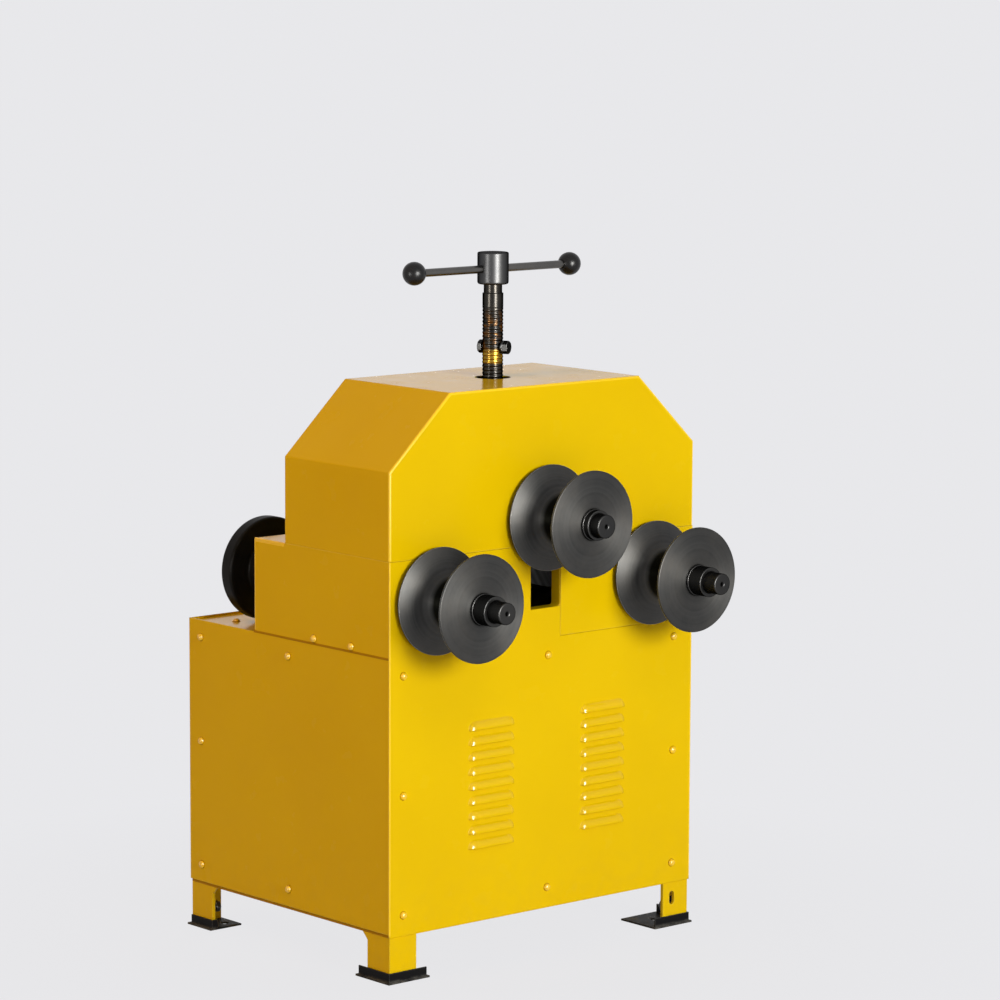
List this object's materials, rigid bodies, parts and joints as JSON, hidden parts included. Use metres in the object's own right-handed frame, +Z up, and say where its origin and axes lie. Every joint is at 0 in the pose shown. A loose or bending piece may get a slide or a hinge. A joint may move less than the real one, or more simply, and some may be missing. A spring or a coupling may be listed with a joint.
{
  "type": "electric rolling pipe bender",
  "caption": "Floor-standing electric rolling bender for pipe, with grooved steel rollers on the front, a screw press with a cross handle on top, and a louvred sheet-metal cabinet on feet.",
  "frame": {"origin": "on the floor, in the middle of the four anchor holes, which is the middle of the cabinet's footprint", "axes": "+X to the right along the front, +Y to the back, +Z up; the front rollers stand out on the -Y side"},
  "size_m": [0.7228, 0.72, 1.135],
  "materials": {
    "yellow_paint": "semi-gloss paint",
    "foot_black": "satin black",
    "roller_steel": "blackened, turned",
    "nut_black": "blackened",
    "shaft_steel": "turned",
    "screw_steel": "oiled, dark",
    "plate_steel": "mill finish",
    "gear_steel": "machined",
    "fastener_steel": "plated",
    "bronze": "machined",
    "reducer_iron": "painted casting",
    "motor_casting": "painted casting",
    "black_plastic": "matte",
    "knob_plastic": "gloss"
  },
  "bodies": {
    "frame": {"base_frame": "yellow_paint", "foot_front_left": "foot_black", "foot_front_right": "foot_black", "foot_rear_left": "foot_black", "foot_rear_right": "foot_black", "foot_bolts": "fastener_steel", "base_plate": "yellow_paint", "left_side_panel": "yellow_paint", "right_side_panel": "yellow_paint", "front_panel": "yellow_paint", "right_front_cover": "yellow_paint", "rear_panel": "yellow_paint", "rear_deck": "yellow_paint", "gear_case_cover": "yellow_paint", "hood": "yellow_paint", "front_plate": "plate_steel", "mid_plate": "plate_steel", "rear_plate": "plate_steel", "slide_guides": "plate_steel", "crosshead": "plate_steel", "screw_nut": "bronze", "left_bearings": "gear_steel", "right_bearings": "gear_steel", "reducer_stand": "foot_black", "gear_reducer": "reducer_iron", "motor": "motor_casting", "motor_fan_cowl": "motor_casting", "motor_terminal_box": "black_plastic", "panel_screws": "fastener_steel", "switch_box": "black_plastic", "cable_gland": "black_plastic"},
    "left_roll": {"left_shaft": "shaft_steel", "left_gear": "gear_steel", "left_front_roller": "roller_steel", "left_rear_roller": "roller_steel", "left_nuts": "nut_black"},
    "right_roll": {"right_shaft": "shaft_steel", "right_gear": "gear_steel", "right_front_roller": "roller_steel", "right_rear_roller": "roller_steel", "right_nuts": "nut_black"},
    "drive": {"drive_shaft": "shaft_steel", "bull_gear": "gear_steel"},
    "carriage": {"carriage": "plate_steel", "top_bearings": "gear_steel", "screw_retainer": "plate_steel"},
    "top_roll": {"top_shaft": "shaft_steel", "top_front_roller": "roller_steel", "top_rear_roller": "roller_steel", "top_nuts": "nut_black"},
    "press_screw": {"press_screw": "screw_steel", "handle_hub": "screw_steel", "handle_bar": "screw_steel", "handle_knobs": "knob_plastic", "stop_bolt": "nut_black"},
    "switch": {"switch_knob": "knob_plastic"}
  },
  "joints": [
    {"name": "drive_spin", "type": "hinge", "parent": "frame", "child": "drive", "pos_m": [0, 0, 0.42187], "axis": [0, 1, 0], "continuous": true},
    {"name": "left_roll_spin", "type": "hinge", "parent": "frame", "child": "left_roll", "pos_m": [-0.23, 0, 0.605], "axis": [0, 1, 0], "continuous": true},
    {"name": "right_roll_spin", "type": "hinge", "parent": "frame", "child": "right_roll", "pos_m": [0.23, 0, 0.605], "axis": [0, 1, 0], "continuous": true},
    {"name": "press_slide", "type": "slide", "parent": "frame", "child": "carriage", "axis": [0, 0, 1], "range_m": [-0.036, 0.045]},
    {"name": "press_turn", "type": "hinge", "parent": "carriage", "child": "press_screw", "pos_m": [0, -0.1285, 0.9], "axis": [0, 0, 1], "range_deg": [-2160, 2700]},
    {"name": "top_roll_spin", "type": "hinge", "parent": "carriage", "child": "top_roll", "pos_m": [0, 0, 0.717], "axis": [0, 1, 0], "continuous": true},
    {"name": "switch_turn", "type": "hinge", "parent": "frame", "child": "switch", "pos_m": [0.367, -0.15, 0.42], "axis": [1, 0, 0], "range_deg": [-60, 60]}
  ],
  "couplings": [
    {"joint": "left_roll_spin", "follows": "drive_spin", "ratio": -2.6296},
    {"joint": "right_roll_spin", "follows": "drive_spin", "ratio": -2.6296},
    {"joint": "press_slide", "follows": "press_turn", "m_per_rad": 0.00095493}
  ]
}
